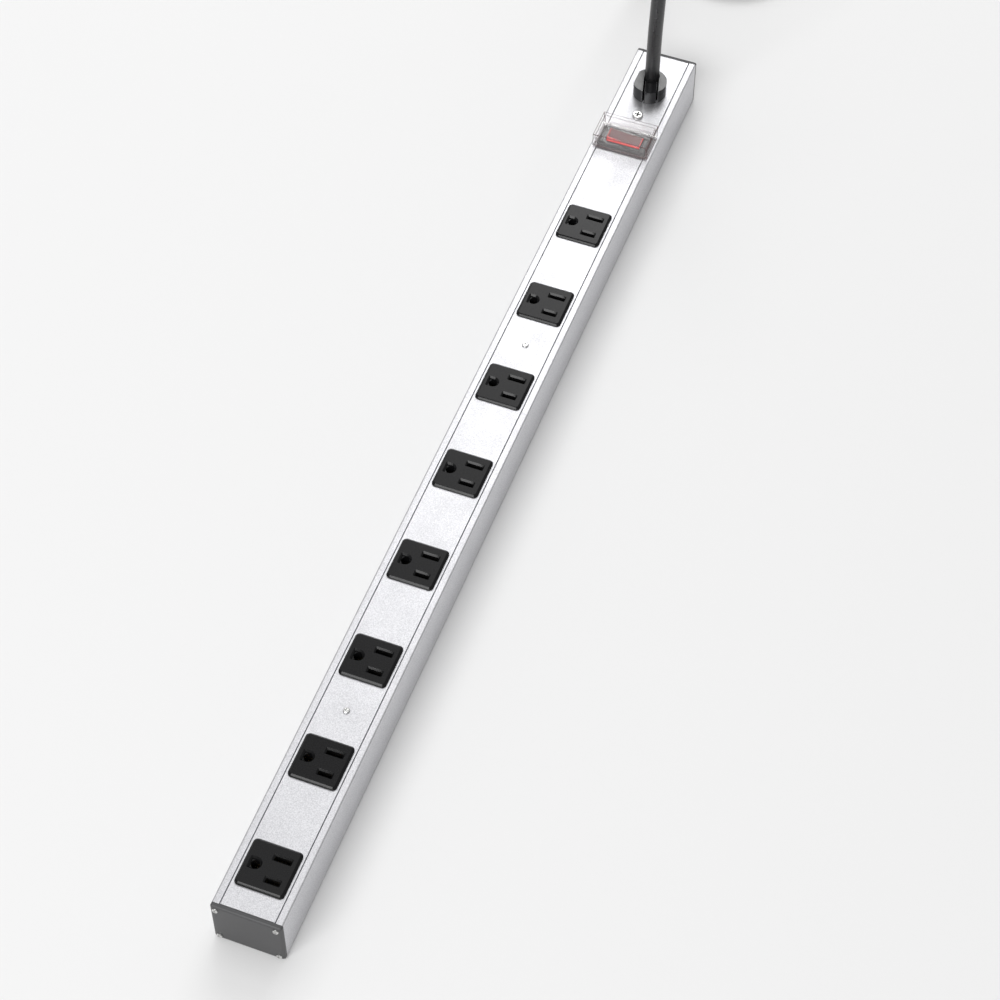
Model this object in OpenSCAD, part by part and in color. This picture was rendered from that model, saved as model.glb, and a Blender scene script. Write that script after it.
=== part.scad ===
// Rack power strip: an extruded aluminium channel with a front panel of eight single outlets,
// a lighted rocker switch under a hinged clear guard, and a mains cord through a strain relief.
// The strip lies on its back: X across, Y along it towards the cord end, Z out of the front.
// The origin is at the centre of the back face.

/* [Strip] */
// Width of the housing, across the strip
strip_w = 38.1; // [38.1:0.1:60]
// Height of the housing, from its back to its front face
strip_h = 31.75; // [31.75:0.05:45]
// Length over both end caps
strip_l = 638; // [630:1:1200]
// Wall of the channel extrusion
wall = 1.6; // [1.2:0.1:2.4]
// Radius of the channel's long outer edges
edge_r = 1; // [0.4:0.1:1.5]
// Side of the square screw block in each corner of the channel, from the outer faces
corner_block = 4.2; // [3.6:0.1:5]

/* [Front panel] */
// Thickness of the front panel
panel_t = 2; // [1.5:0.1:2.5]
// Gap along each seam between the panel and the channel
seam_gap = 0.1; // [0.05:0.05:0.3]
// Thickness of the channel's ledges under the panel's edges
ledge_t = 1.6; // [1.2:0.1:2]
// Clearance of every snap-in body in its cut-out, all round
cutout_gap = 0.15; // [0.1:0.05:0.3]

/* [End caps] */
// Thickness of an end cap
cap_t = 2.6; // [2:0.1:4]
// Depth of the cap's spigot inside the channel
spigot_depth = 3; // [2:0.5:5]
// Gap between the spigot and the channel
spigot_gap = 0.2; // [0.1:0.05:0.4]
// Distance of a cap screw from the nearest outer faces
cap_screw_inset = 2.95; // [2.8:0.05:3.3]
// Radius of a cap screw's head
cap_screw_head_r = 1.55; // [1.4:0.05:1.7]
// Radius of a cap screw's shank
cap_screw_r = 1; // [0.8:0.05:1.1]
// Length of a cap screw under its head
cap_screw_l = 10; // [8:0.5:16]
// Thickness of the spigot's own wall
spigot_wall = 1.6; // [1.2:0.1:2]

/* [Outlets] */
// Number of outlets
outlet_count = 8; // [1:1:8]
// Spacing of the outlets
outlet_pitch = 65.1; // [45:0.1:66]
// Centre of the first outlet from the near end
first_outlet = 28.7; // [25:0.1:40]
// Width of an outlet's face, across the strip
face_x = 26.8; // [26:0.1:28]
// Length of an outlet's face, along the strip
face_y = 27.2; // [26.5:0.1:30]
// How far a face stands above the panel
face_proud = 1.6; // [1:0.1:2.5]
// Corner radius of a face
face_r = 2.5; // [1:0.1:4]
// Width of the outlet's body, across the strip
body_x = 24; // [23:0.1:25]
// Length of the outlet's body, along the strip
body_y = 24.4; // [23.5:0.1:26]
// Distance between the two blade slots
slot_spacing = 12.7; // [12.7:0.1:12.8]
// Distance of the blade slots from the strip's centre line
slot_x = 4.75; // [4:0.05:5]
// Length of the neutral slot
neutral_slot_l = 8.8; // [8.2:0.1:9]
// Length of the line slot
line_slot_l = 7.4; // [6.8:0.1:7.6]
// Width of both blade slots
slot_w = 2.3; // [1.9:0.1:2.6]
// Distance from the slots' line to the ground hole
ground_offset = 11.95; // [11.9:0.05:12]
// Width of the D-shaped ground hole
ground_hole_d = 5.3; // [5:0.1:5.6]
// Diameter of the round bore below its D-shaped mouth, which guides the ground pin
ground_bore_d = 4.9; // [4.9:0.05:5.1]

/* [Outlet insides] */
// Height of the back cover's underside above the strip's back
back_z = 8; // [7.5:0.5:9]
// Thickness of the back cover
back_t = 4; // [3:0.5:4.5]
// Depth of the solid face above the contact cavities
face_depth = 5.35; // [4:0.05:7]
// Gap between a pair of contact leaves for a blade
leaf_gap = 1.4; // [1.2:0.1:1.5]
// Gap between the leaves for a ground pin
ground_leaf_gap = 4.6; // [4.5:0.1:4.7]
// Thickness of the contact leaves and of their tails
leaf_t = 0.6; // [0.4:0.1:0.8]
// Width of the tail under each contact
tail_w = 3; // [2:0.1:3.4]
// Width of a bus bar
bus_w = 4; // [3:0.1:4.5]
// Thickness of a bus bar
bus_t = 0.8; // [0.6:0.1:1.2]

/* [Switch] */
// Centre of the switch from the cord end
switch_from_end = 81.2; // [78:0.1:90]
// Length of the switch bezel, across the strip
bezel_x = 30.4; // [29.5:0.1:31]
// Width of the switch bezel, along the strip
bezel_y = 15.4; // [14.5:0.1:15.6]
// Thickness of the switch bezel
bezel_t = 1.8; // [1.5:0.1:2]
// Length of the switch body under the bezel
switch_x = 27; // [26:0.1:27.2]
// Width of the switch body under the bezel
switch_y = 12.4; // [12:0.1:12.8]
// Length of the rocker
rocker_x = 20.8; // [19:0.1:21.5]
// Width of the rocker
rocker_y = 8.2; // [7.5:0.1:8.4]
// Height of the rocker's dip above the panel
rocker_rise = 4.2; // [3.5:0.1:5]
// Slope of each half of the rocker's top
rocker_vee = 3.5; // [2:0.5:5]
// Tilt of the rocker to either side of level
rocker_tilt = 3.5; // [2:0.5:4]
// Clearance round the rocker in its window
rocker_gap = 0.4; // [0.35:0.05:0.6]

/* [Guard] */
// Length of the clear guard, across the strip
guard_x = 34.5; // [33.9:0.1:36]
// Width of the clear guard, along the strip
guard_y = 20.7; // [20.5:0.1:22]
// Height of the guard above the panel
guard_h = 10; // [9:0.1:14]
// Wall of the guard
guard_t = 1.2; // [1:0.1:1.3]
// Distance of the guard's near edge from the switch's centre
guard_near = 9.45; // [9.4:0.05:9.8]
// Thickness of the guard's base frame, under the bezel
frame_t = 1; // [0.8:0.1:1.2]
// Radius of the guard's hinge knuckles
knuckle_r = 1.2; // [1.1:0.05:1.3]
// Radius of the hinge pin
pin_r = 0.6; // [0.5:0.05:0.7]
// Running clearance of the pin in the guard's knuckles
pin_gap = 0.05; // [0.03:0.01:0.08]

/* [Strain relief and cord] */
// Centre of the strain relief from the cord end
gland_from_end = 35; // [30:0.1:36]
// Radius of the strain relief's head
gland_r = 10.3; // [9.8:0.1:11]
// Height of the head above the panel
gland_h = 9.4; // [7:0.1:14]
// Distance from the head's centre to the flat on its side
gland_flat = 8.8; // [8.4:0.1:9.5]
// Radius of the strain relief's neck in the panel
gland_neck_r = 7.8; // [7.7:0.05:8]
// Offset of the cord from the head's centre, towards the cord end
cord_offset = 4.7; // [4.5:0.1:4.9]
// Offset of the cord inside the neck
neck_offset = 3; // [2.8:0.1:3.1]
// Diameter of the cord
cord_d = 8.8; // [8.4:0.1:8.9]
// Width of the locking wedge
wedge_w = 7.2; // [6:0.1:8]
// How far the wedge's top lies under the head's top
wedge_recess = 0.5; // [0.2:0.1:1]
// Turn of the wedge's slot from the strip's length, about the cord
slot_turn = 15; // [0:1:20]

/* [Screws on the front] */
// Centre of the ground screw from the cord end
ground_screw_from_end = 57; // [56:0.1:58]
// Head radius of the ground screw
ground_head_r = 3.35; // [3:0.05:3.6]
// Shank radius of the ground screw
ground_screw_r = 1.9; // [1.5:0.05:2]
// Head radius of the two panel screws
panel_head_r = 1.85; // [1.7:0.05:2.2]
// Shank radius of the two panel screws
panel_screw_r = 1.2; // [1:0.05:1.3]

/* [Hank and plug] */
// Straight length of the tied hank of cord
hank_straight = 59; // [55:1:90]
// Bend radius of the hank's inner turns
hank_r = 26.4; // [26.4:0.1:32]
// Thickness of the straps that the hank lies on
strap_t = 0.8; // [0.5:0.1:1.2]
// Width of a strap
strap_w = 12; // [8:1:16]
// Length of the free cord between the hank and the plug
tail_l = 38; // [36:1:60]
// Length of the plug's body
plug_l = 51; // [45:1:60]
// Length of the plug's flat blades
blade_l = 17.5; // [16:0.1:18.3]
// Radius of the plug's body
plug_r = 14; // [13:0.1:14]

/* [Hidden] */
$fn = 48;
eps = 0.01;
inner_w = strip_w - 2 * wall;
panel_w = strip_w - 2 * corner_block - 2 * seam_gap;
panel_z = strip_h - panel_t;
// the ledges reach under the panel as far as the switch's cut-out lets them
ledge_reach = panel_w / 2 + seam_gap - switch_x / 2 - cutout_gap;
end_y = strip_l / 2;
chamber_l = strip_l - 2 * cap_t;
first_y = -end_y + first_outlet;
last_y = first_y + (outlet_count - 1) * outlet_pitch;
switch_yc = end_y - switch_from_end;
gland_yc = end_y - gland_from_end;
ground_screw_yc = end_y - ground_screw_from_end;
// panel screws stand midway between the second and third outlets from each end of the row
panel_screw_ys = [for (i = [1, outlet_count - 3]) if (i > 0) first_y + (i + 0.5) * outlet_pitch];

ground_x = slot_x - ground_offset;
cavity_top = strip_h + face_proud - face_depth;
floor_z = back_z + back_t;
// the contacts' tails stand beside the slots, so that the two bus bars pass each other
line_tail_x = slot_x + 2.75;
neutral_tail_x = slot_x - 2.75;
bus_start = first_y - 8;
bus_end = last_y + 14;
blade_cavity = [9.4, 4.4];
ground_cavity = [6.4, 6.6];
blade_leaf_w = 8;
// the ground leaves start well below the bore that guides the pin
ground_leaf_drop = 4;
ground_leaf_w = 5;
pan_head_h = 0.9;
liner_t = 0.5;

// hinge of the guard: along X, from the switch's centre
hinge_y = guard_y - guard_near - knuckle_r;
hinge_z = strip_h + knuckle_r + 0.3;
knuckle_in = 13.2;
pivot_z = strip_h + 0.4;
trunnion_r = 0.95;
window_x = rocker_x + 2 * rocker_gap;
window_y = rocker_y + 2 * rocker_gap - 0.2;
switch_bottom = 9;
terminal_xs = [-8.6, 0, 6.5];
lever_z = 20.5;
lever_tilt = 6;
lever_t = 0.6;

// places of the insulated wires and of the ring terminals on the ground screw
wire_r = 1.3;
core_wall = 0.35;
low_wire_z = 5.2;
bus_wire_z = back_z - bus_t - wire_r;
side_wire_x = inner_w / 2 - wire_r - 0.5;
ring_t = 0.8;
ring_l = 8;
ring_gap = 0.05;
ground_head_h = 1.5;

barrel_l = 9.7;
// the slot is this much wider than the cord's way
slot_ease = 0.2;
// the wedge stops this far short of the cord's axis at the neck
wedge_back = 2.5;
cord_r = cord_d / 2;
// the line and neutral wires leave the jacket this far to each side of its middle
core_x = cord_r - wire_r - core_wall;
cord_gap = 0.1;
hank_start = 179;
hank_near_y = gland_yc + hank_start;
hank_far_y = hank_near_y + hank_straight;
tail_x = hank_r + cord_d;
tail_z = strap_t + 1.5 * cord_d;
// the route of the lead from the strain relief to the hank, from the strain relief's foot
lead_points = [
    [0, 3, 22], [0, 3, 29], [-0.3, 4.5, 38], [-0.3, 4.7, 50], [-0.2, 4.7, 64], [0, 4.8, 80],
    [0.4, 5, 96], [0.6, 5.6, 112], [0, 8, 129], [-2, 15, 145], [-5, 27, 158], [-9, 43, 165],
    [-15, 61, 164], [-21, 77, 155], [-26, 90, 141], [-30.5, 99, 123], [-34.4, 104, 103],
    [-37.4, 107, 83], [-39.6, 110, 63], [-41.2, 116, 44], [-42.5, 127, 26.5], [-43.4, 142, 13.5],
    [-43.9, 160, 6.6], [-44, 179, 5.2]
];
jacket_end_z = lead_points[0].z;

OUTLET_PARTS = ["front", "back", "contacts"];

// ---- shapes that repeat ----

// a rectangle with round corners, centred
module rounded_rect(w, h, r) {
    square([w - 2 * r, h], center = true);
    square([w, h - 2 * r], center = true);
    for (x = [-1, 1], y = [-1, 1])
        translate([x * (w / 2 - r), y * (h / 2 - r)]) circle(r);
}

// an XZ outline extruded along Y from y0 to y1
module along_y(y0, y1) {
    translate([0, y1, 0]) rotate([90, 0, 0]) linear_extrude(y1 - y0) children();
}

// a block centred in X and Y, from z0 to z1
module block(x, y, z0, z1) {
    translate([-x / 2, -y / 2, z0]) cube([x, y, z1 - z0]);
}

// a round bar between two points
module bar(a, b, r) {
    d = b - a;
    l = norm(d);
    translate(a) rotate([0, acos(d.z / l), atan2(d.y, d.x)]) cylinder(h = l, r = r);
}

// an insulated wire through a list of points, with round bends
module wire(points, r) {
    for (i = [0:len(points) - 2]) bar(points[i], points[i + 1], r);
    for (i = [1:len(points) - 2]) translate(points[i]) sphere(r + 0.08);
}

// a pan-head screw with a cross recess, its head's underside at z = 0 and its shank below
module pan_screw(head_r, head_h, shank_r, l) {
    arm = [1.1 * head_r, 0.26 * head_r];
    difference() {
        cylinder(h = head_h, r = head_r);
        for (a = [0, 90]) rotate(a) block(arm.x, arm.y, head_h * 0.4, head_h + 1);
    }
    translate([0, 0, -l]) cylinder(h = l + eps, r = shank_r);
}

// the corners where the cap screws stand, as X and Z
module at_corners() {
    for (x = [-1, 1], z = [cap_screw_inset, strip_h - cap_screw_inset])
        translate([x * (strip_w / 2 - cap_screw_inset), z]) children();
}

// ---- housing ----

module channel_outline() {
    difference() {
        union() {
            difference() {
                translate([0, strip_h / 2]) rounded_rect(strip_w, strip_h, edge_r);
                translate([-inner_w / 2, wall]) square([inner_w, strip_h]);
            }
            intersection() {
                translate([0, strip_h / 2]) rounded_rect(strip_w, strip_h, edge_r);
                for (x = [0, strip_w - corner_block], z = [0, strip_h - corner_block])
                    translate([x - strip_w / 2, z]) square(corner_block);
            }
            for (s = [-1, 1])
                translate([s * (panel_w / 2 + seam_gap) - (s > 0 ? ledge_reach : 0), panel_z - ledge_t])
                    square([ledge_reach, ledge_t]);
        }
        at_corners() circle(cap_screw_r + 0.05);
    }
}

module housing_channel() {
    color("gainsboro") along_y(-chamber_l / 2, chamber_l / 2) channel_outline();
}

module front_panel() {
    color("whitesmoke") difference() {
        block(panel_w, chamber_l, panel_z, strip_h);
        for (i = [0:outlet_count - 1])
            translate([0, first_y + i * outlet_pitch])
                block(body_x + 2 * cutout_gap, body_y + 2 * cutout_gap, panel_z - 1, strip_h + 1);
        translate([0, switch_yc])
            block(switch_x + 2 * cutout_gap, switch_y + 2 * cutout_gap, panel_z - 1, strip_h + 1);
        translate([0, gland_yc, panel_z - 1]) cylinder(h = panel_t + 2, r = gland_neck_r + cutout_gap);
        translate([0, ground_screw_yc, panel_z - 1])
            cylinder(h = panel_t + 2, r = ground_screw_r + cutout_gap);
        for (y = panel_screw_ys)
            translate([0, y, panel_z - 1]) cylinder(h = panel_t + 2, r = panel_screw_r + cutout_gap);
    }
}

// the spigot's outline, or its hollow where it is inset by the spigot's wall
module spigot_outline(inset) {
    w = strip_w - 2 * (corner_block + ledge_reach + spigot_gap + inset);
    translate([-w / 2, wall + spigot_gap + inset])
        square([w, panel_z - wall - 2 * (spigot_gap + inset)]);
}

// an end cap with its outer face at y = 0 and its spigot towards +Y
module end_cap() {
    color("dimgray") difference() {
        union() {
            along_y(0, cap_t) translate([0, strip_h / 2]) rounded_rect(strip_w, strip_h, edge_r);
            along_y(cap_t - eps, cap_t + spigot_depth) spigot_outline(0);
        }
        along_y(cap_t, cap_t + spigot_depth + 1) spigot_outline(spigot_wall);
        along_y(-1, cap_t + 1) at_corners() circle(cap_screw_r + cutout_gap);
    }
}

module end_cap_near() {
    translate([0, -end_y, 0]) end_cap();
}

module end_cap_far() {
    translate([0, end_y, 0]) mirror([0, 1, 0]) end_cap();
}

// four cap screws, their heads standing on the plane y = 0 and their shanks towards +Y
module cap_screws() {
    color("silver") for (x = [-1, 1], z = [cap_screw_inset, strip_h - cap_screw_inset])
        translate([x * (strip_w / 2 - cap_screw_inset), 0, z])
            rotate([90, 0, 0]) pan_screw(cap_screw_head_r, pan_head_h, cap_screw_r, cap_screw_l);
}

module cap_screws_near() {
    translate([0, -end_y, 0]) cap_screws();
}

module cap_screws_far() {
    translate([0, end_y, 0]) mirror([0, 1, 0]) cap_screws();
}

// an insulating film on the channel's floor, short of the spigots at both ends
module channel_liner() {
    color("peru") block(strip_w - 2 * corner_block - 1, chamber_l - 4 * spigot_depth, wall, wall + liner_t);
}

// ---- outlets, each about its own centre ----

// the D-shaped ground hole: flat towards the edge, round towards the slots
module ground_hole(r) {
    circle(r);
    translate([-r, -r]) square([r, 2 * r]);
}

// places of the line slot, the neutral slot and the ground hole
module at_line() { translate([slot_x, -slot_spacing / 2]) children(); }
module at_neutral() { translate([slot_x, slot_spacing / 2]) children(); }
module at_ground() { translate([ground_x, 0]) children(); }

module outlet_front() {
    deep = strip_h + face_proud + 1;
    rim = 0.4;
    nub = [6, 0.6, 2.2];
    color("#3c3c3e") difference() {
        union() {
            translate([0, 0, strip_h]) linear_extrude(face_proud * 0.7) rounded_rect(face_x, face_y, face_r);
            translate([0, 0, strip_h]) linear_extrude(face_proud)
                rounded_rect(face_x - 2 * rim, face_y - 2 * rim, face_r - rim);
            block(body_x, body_y, floor_z, strip_h + eps);
            // snap nubs that hold the body behind the panel
            block(nub.x, body_y + 2 * nub.y, panel_z - nub.z, panel_z - 0.05);
        }
        at_line() block(line_slot_l, slot_w, floor_z - 1, deep);
        at_neutral() block(neutral_slot_l, slot_w, floor_z - 1, deep);
        at_line() block(blade_cavity.x, blade_cavity.y, floor_z - 1, cavity_top);
        at_neutral() block(blade_cavity.x, blade_cavity.y, floor_z - 1, cavity_top);
        // the ground hole is D-shaped at its mouth and round below
        at_ground() translate([0, 0, strip_h]) linear_extrude(deep - strip_h) ground_hole(ground_hole_d / 2);
        at_ground() translate([0, 0, floor_z - 1]) cylinder(h = deep - floor_z, r = ground_bore_d / 2);
        at_ground() block(ground_cavity.x, ground_cavity.y, floor_z - 1, cavity_top);
    }
}

module outlet_back() {
    color("#2c2c2e") difference() {
        block(body_x, body_y, back_z, floor_z);
        for (p = [[line_tail_x, -slot_spacing / 2], [neutral_tail_x, slot_spacing / 2], [ground_x, 0]])
            translate(p) block(tail_w + 2 * cutout_gap, leaf_t + 2 * cutout_gap, back_z - 1, floor_z + 1);
    }
}

// two leaves across Y on a web, for a flat blade; the tail's offset from the slot is dx
module blade_contact(dx) {
    top = cavity_top - 1;
    for (s = [-1, 1])
        translate([0, s * (leaf_gap + leaf_t) / 2]) block(blade_leaf_w, leaf_t, floor_z, top);
    block(blade_leaf_w, leaf_gap + eps, floor_z, floor_z + leaf_t);
    translate([dx, 0]) block(tail_w, leaf_t, back_z, floor_z + eps);
}

// two wider leaves on a web, for a round pin
module ground_contact() {
    for (s = [-1, 1]) translate([0, s * (ground_leaf_gap + leaf_t) / 2])
        block(ground_leaf_w, leaf_t, floor_z, cavity_top - ground_leaf_drop);
    block(ground_leaf_w, ground_leaf_gap + eps, floor_z, floor_z + leaf_t);
    block(tail_w, leaf_t, back_z, floor_z + eps);
}

module outlet_contacts() {
    color("goldenrod") {
        at_line() blade_contact(line_tail_x - slot_x);
        at_neutral() blade_contact(neutral_tail_x - slot_x);
        at_ground() ground_contact();
    }
}

module outlet_part(part) {
    if (part == "front") outlet_front();
    if (part == "back") outlet_back();
    if (part == "contacts") outlet_contacts();
}

// ---- bus bars and wires ----

module bus(x) {
    color("goldenrod") translate([x - bus_w / 2, bus_start, back_z - bus_t])
        cube([bus_w, bus_end - bus_start, bus_t]);
}

module line_bus() { bus(line_tail_x); }
module neutral_bus() { bus(neutral_tail_x); }
module ground_bus() { bus(ground_x); }

// from the cord to the switch
module line_supply_wire() {
    color("black") wire([
        [-core_x, gland_yc + 1.6, jacket_end_z], [-core_x, gland_yc, 11],
        [-core_x, gland_yc - 12, low_wire_z],
        [-1.7, switch_yc, low_wire_z]
    ], wire_r);
}

// from the switch to the line bus
module switched_line_wire() {
    color("black") wire([
        [4.8, switch_yc, low_wire_z], [4.8, switch_yc - 12, low_wire_z],
        [line_tail_x, switch_yc - 22, bus_wire_z],
        [line_tail_x, bus_end - 8, bus_wire_z]
    ], wire_r);
}

// from the cord past the switch to the neutral bus
module neutral_wire() {
    color("white") wire([
        [core_x, gland_yc + 1.6, jacket_end_z], [core_x, gland_yc + 0.6, 15.5],
        [side_wire_x, gland_yc - 20, 15], [side_wire_x, switch_yc - 20, 15],
        [neutral_tail_x, switch_yc - 40, bus_wire_z], [neutral_tail_x, bus_end - 8, bus_wire_z]
    ], wire_r);
}

// one from the cord to the ground screw, one from there to the ground bus
module ground_wires() {
    color("green") {
        wire([
            [0, gland_yc + 5, jacket_end_z], [0, gland_yc + 5, 17.2], [0, gland_yc - 10, 17.2],
            [0, ground_screw_yc + ring_l, panel_z - ring_t - wire_r]
        ], wire_r);
        wire([
            [0, ground_screw_yc - ring_l, panel_z - 2 * ring_t - wire_r],
            [-side_wire_x, ground_screw_yc - 12, 20], [-side_wire_x, switch_yc - 20, 15],
            [ground_x, switch_yc - 40, bus_wire_z], [ground_x, bus_end - 8, bus_wire_z]
        ], wire_r);
    }
}

// ---- screws on the front ----

clamp_bar_t = 1.5;

module panel_screws() {
    l = panel_t + ledge_t + clamp_bar_t + 2.5;
    color("silver") for (y = panel_screw_ys)
        translate([0, y, strip_h]) pan_screw(panel_head_r, pan_head_h, panel_screw_r, l);
}

// steel bars under the channel's ledges that the panel screws pull up
module panel_clamp_bars() {
    top = panel_z - ledge_t;
    color("lightslategray") for (y = panel_screw_ys) translate([0, y]) difference() {
        block(panel_w, 10, top - clamp_bar_t, top);
        translate([0, 0, top - clamp_bar_t - 1]) cylinder(h = clamp_bar_t + 2, r = panel_screw_r + 0.02);
    }
}

module ground_screw() {
    color("silver") translate([0, ground_screw_yc, strip_h])
        pan_screw(ground_head_r, ground_head_h, ground_screw_r, panel_t + 6);
}

// a hexagonal nut under the two ring terminals
module ground_nut() {
    nut_h = 3;
    color("silver") translate([0, ground_screw_yc, panel_z - 2 * ring_t - ring_gap - nut_h]) difference() {
        cylinder(h = nut_h, r = 4, $fn = 6);
        translate([0, 0, -1]) cylinder(h = nut_h + 2, r = ground_screw_r + 0.02);
    }
}

// an eye, its neck and the crimp under it, which meets the end of its wire
module ring_terminal() {
    neck_w = 3.2;
    crimp_l = 3;
    crimp_h = 1.8;
    difference() {
        union() {
            cylinder(h = ring_t, r = 3.6);
            translate([-neck_w / 2, 0, 0]) cube([neck_w, ring_l - 2, ring_t]);
            translate([-neck_w / 2, ring_l - crimp_l, -crimp_h]) cube([neck_w, crimp_l, crimp_h + ring_t]);
        }
        translate([0, 0, -1]) cylinder(h = ring_t + 2, r = ground_screw_r + 0.1);
    }
}

// two ring terminals back to back, a hair apart so that each stays its own piece
module ground_ring_terminals() {
    color("goldenrod") translate([0, ground_screw_yc, panel_z - ring_t]) {
        ring_terminal();
        translate([0, 0, -ring_t - ring_gap]) rotate(180) ring_terminal();
    }
}

// ---- switch, about its own centre ----

module switch_body() {
    flange_z = strip_h + frame_t;
    color("#1c1c1e") translate([0, switch_yc]) difference() {
        union() {
            translate([0, 0, flange_z]) linear_extrude(bezel_t) rounded_rect(bezel_x, bezel_y, 1);
            block(switch_x, switch_y, switch_bottom, flange_z + eps);
        }
        block(window_x, window_y, switch_bottom + 2, flange_z + bezel_t + 1);
        // pivot holes for the rocker's trunnions
        translate([0, -window_y / 2 - 1, pivot_z]) rotate([-90, 0, 0])
            cylinder(h = window_y + 2, r = trunnion_r + 0.05);
        for (x = terminal_xs) translate([x, 0]) block(1.2, 5.2, switch_bottom - 1, switch_bottom + 3);
    }
}

// a shallow V on top, a trunnion on each side, and a stem with a round tip below
module switch_rocker() {
    half = rocker_x / 2;
    dip = strip_h + rocker_rise - pivot_z;
    tip = dip + half * tan(rocker_vee);
    skirt = 2.2;
    stem_l = 8;
    stem_w = 4;
    color("#c01818") translate([0, switch_yc, pivot_z]) rotate([0, rocker_tilt, 0]) {
        along_y(-rocker_y / 2, rocker_y / 2)
            polygon([[-half, -skirt], [half, -skirt], [half, tip], [0, dip], [-half, tip]]);
        rotate([90, 0, 0]) translate([0, 0, -window_y / 2 - 0.8])
            cylinder(h = window_y + 1.6, r = trunnion_r);
        block(2.4, stem_w, -stem_l, -2);
        translate([0, stem_w / 2, -stem_l]) rotate([90, 0, 0]) cylinder(h = stem_w, r = 1.2);
    }
}

// the seesaw contact that the rocker's stem tips, with a round barrel on the blade it rocks on
// and a contact button under one end
module switch_lever() {
    w = 4.4;
    color("goldenrod") translate([0, switch_yc, lever_z]) rotate([0, -lever_tilt, 0]) {
        block(15, w, -lever_t / 2, lever_t / 2);
        translate([0, w / 2, 0]) rotate([90, 0, 0]) cylinder(h = w, r = 0.5);
        translate([terminal_xs[2], 0, -0.7]) cylinder(h = 0.5, r = 1.2);
    }
}

// lamp, supply and load blades, from the lowest point of each to its top
module switch_terminals() {
    tops = [26, lever_z - 0.6, lever_z - 2.6];
    color("goldenrod") translate([0, switch_yc]) for (i = [0:2])
        translate([terminal_xs[i], 0]) block(0.8, 4.8, 3.6, tops[i]);
}

module switch_lamp() {
    color("orange") translate([terminal_xs[0] + 0.4, switch_yc, 24]) rotate([0, 90, 0])
        cylinder(h = 6, r = 1.8);
}

// ---- guard ----

// a flat frame round the switch body, with the fixed knuckle of the hinge behind it
module guard_frame() {
    near = guard_near - guard_t - 0.35;
    far = hinge_y - knuckle_r - 0.2;
    w = guard_x - 2 * guard_t - 0.9;
    knuckle_l = 2 * knuckle_in - 0.6;
    color([0.9, 0.95, 1, 0.4]) translate([0, switch_yc]) difference() {
        union() {
            translate([-w / 2, -near, strip_h]) cube([w, far + near, frame_t]);
            translate([-knuckle_l / 2, far - eps, strip_h]) cube([knuckle_l, hinge_y - far, frame_t]);
            translate([-knuckle_l / 2, hinge_y, hinge_z]) rotate([0, 90, 0])
                cylinder(h = knuckle_l, r = knuckle_r - 0.1);
        }
        block(switch_x + 2 * cutout_gap, switch_y + 2 * cutout_gap, strip_h - 1, strip_h + frame_t + 1);
        translate([-knuckle_in, hinge_y, hinge_z]) rotate([0, 90, 0])
            cylinder(h = 2 * knuckle_in, r = pin_r + 0.02);
    }
}

module guard_hinge_pin() {
    l = guard_x - 0.4;
    color("silver") translate([-l / 2, switch_yc + hinge_y, hinge_z]) rotate([0, 90, 0])
        cylinder(h = l, r = pin_r);
}

module guard_lid() {
    low = strip_h + 0.3;
    top = strip_h + guard_h;
    inner_x = guard_x - 2 * guard_t;
    color([0.9, 0.95, 1, 0.3]) translate([0, switch_yc]) difference() {
        union() {
            difference() {
                translate([-guard_x / 2, -guard_near, low]) cube([guard_x, guard_y, top - low]);
                translate([-inner_x / 2, -guard_near + guard_t, low - 1])
                    cube([inner_x, guard_y - 2 * guard_t, top - low + 1 - guard_t]);
                // the hinge corner is round, and open in the middle for the frame's knuckle
                translate([-guard_x / 2 - 1, hinge_y, low - 1])
                    cube([guard_x + 2, guard_t + 1, hinge_z - low + 1]);
                translate([-knuckle_in, hinge_y - 2, low - 1])
                    cube([2 * knuckle_in, guard_t + 3, hinge_z - low + knuckle_r + 1.2]);
            }
            for (x = [-guard_x / 2, knuckle_in])
                translate([x, hinge_y, hinge_z]) rotate([0, 90, 0])
                    cylinder(h = guard_x / 2 - knuckle_in, r = knuckle_r);
        }
        translate([-guard_x, hinge_y, hinge_z]) rotate([0, 90, 0])
            cylinder(h = 2 * guard_x, r = pin_r + pin_gap);
    }
}

// ---- strain relief, about its own centre, with z = 0 on the panel's face ----

// its whole outside, with a head of height h
module gland_blank(h) {
    difference() {
        cylinder(h = h, r = gland_r);
        translate([-gland_flat - 5, -gland_r - 1, -1]) cube([5, 2 * gland_r + 2, h + 2]);
    }
    translate([0, 0, -panel_t]) cylinder(h = panel_t + eps, r = gland_neck_r);
    // a barrel behind the panel, wider than the hole at its top
    translate([0, 0, -panel_t - barrel_l])
        cylinder(h = barrel_l - 0.05, r1 = gland_neck_r - 0.6, r2 = gland_neck_r + 0.6);
    translate([0, 0, -panel_t - 1]) cylinder(h = 1 + eps, r = gland_neck_r);
}

// the way of the cord through it, from the neck to the offset mouth
module gland_passage() {
    r = cord_r + cord_gap;
    translate([0, neck_offset, -panel_t - barrel_l - 1])
        cylinder(h = barrel_l + panel_t + gland_h + 2, r = r);
    translate([0, cord_offset, -0.5]) cylinder(h = gland_h + 2, r = r);
    translate([-r, neck_offset, -0.5]) cube([2 * r, cord_offset - neck_offset, gland_h + 2]);
}

// a slab of width w through the whole height, from its open side to a distance behind the cord's axis
module gland_slab(w, behind) {
    reach = 2 * gland_r;
    translate([0, neck_offset, -panel_t - barrel_l - 1]) rotate(slot_turn) translate([-w / 2, -reach, 0])
        cube([w, reach + behind, barrel_l + panel_t + gland_h + 2]);
}

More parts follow.
